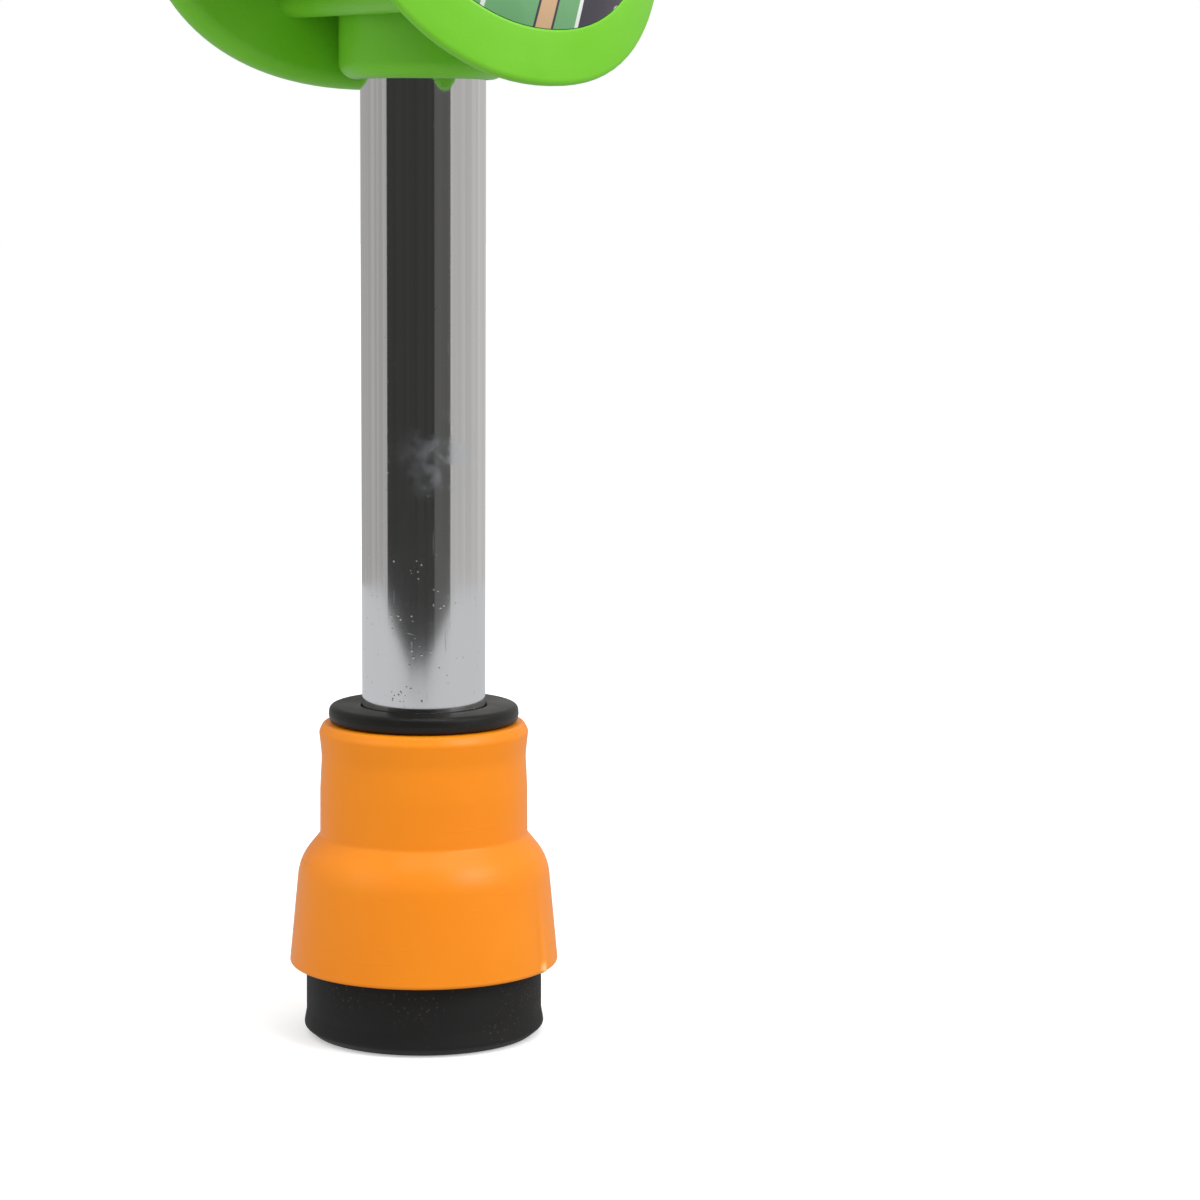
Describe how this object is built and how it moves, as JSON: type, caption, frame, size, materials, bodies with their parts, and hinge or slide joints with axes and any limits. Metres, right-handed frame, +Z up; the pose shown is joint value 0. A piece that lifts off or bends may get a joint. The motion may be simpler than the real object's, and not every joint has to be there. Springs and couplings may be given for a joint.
{
  "type": "pogo stick",
  "caption": "Child's spring pogo stick: a chromed plunger on a rubber foot slides into a stem with moulded foot treads, a front shield and a T handlebar.",
  "frame": {"origin": "centre of the rubber foot's flat underside, on the stick's axis", "axes": "+Z up along the stick, +X along the foot treads and the handlebar, -Y towards the front shield"},
  "size_m": [0.331, 0.084, 0.938],
  "materials": {
    "foot_rubber": "matte black moulded rubber with dust",
    "ring_rubber": "satin black rubber",
    "pad_rubber": "matte ribbed rubber",
    "grip_rubber": "soft orange rubber",
    "orange_plastic": "soft satin orange plastic",
    "lime_plastic": "satin lime green moulded plastic",
    "label_print": "printed label with a clear film",
    "chrome": "polished chrome plating with fine scratches",
    "stem_paint": "satin black powder coat",
    "zinc_steel": "bright zinc plate",
    "spring_steel": "oiled spring steel",
    "nylon": "natural nylon"
  },
  "bodies": {
    "frame": {"outer_tube": "stem_paint", "lower_bushing": "nylon", "spring_stop": "zinc_steel", "guide_bolt": "zinc_steel", "guide_nut": "zinc_steel", "stop_bolt": "zinc_steel", "stop_nut": "zinc_steel", "footrest_body": "lime_plastic", "front_label": "label_print", "foot_bar_left": "zinc_steel", "foot_bar_right": "zinc_steel", "tread_pad_left": "pad_rubber", "tread_pad_right": "pad_rubber", "tread_screw_left_1": "zinc_steel", "tread_screw_left_2": "zinc_steel", "tread_screw_right_1": "zinc_steel", "tread_screw_right_2": "zinc_steel", "handlebar": "stem_paint", "grip_left": "grip_rubber", "grip_right": "grip_rubber", "handle_cover_front": "lime_plastic", "handle_cover_back": "lime_plastic", "cover_screw_1": "zinc_steel", "cover_screw_2": "zinc_steel", "cover_screw_3": "zinc_steel", "cover_screw_4": "zinc_steel", "main_spring": "spring_steel"},
    "plunger": {"rubber_foot": "foot_rubber", "foot_washer": "zinc_steel", "tip_shield": "orange_plastic", "buffer_ring": "ring_rubber", "plunger_tube": "chrome", "plunger_plug": "nylon"}
  },
  "joints": [
    {"name": "plunger_slide", "type": "slide", "parent": "frame", "child": "plunger", "axis": [0, 0, 1], "range_m": [0, 0.138], "stiffness_N_per_m": 3200, "springref_m": -0.025, "deforming": ["main_spring"]}
  ]
}
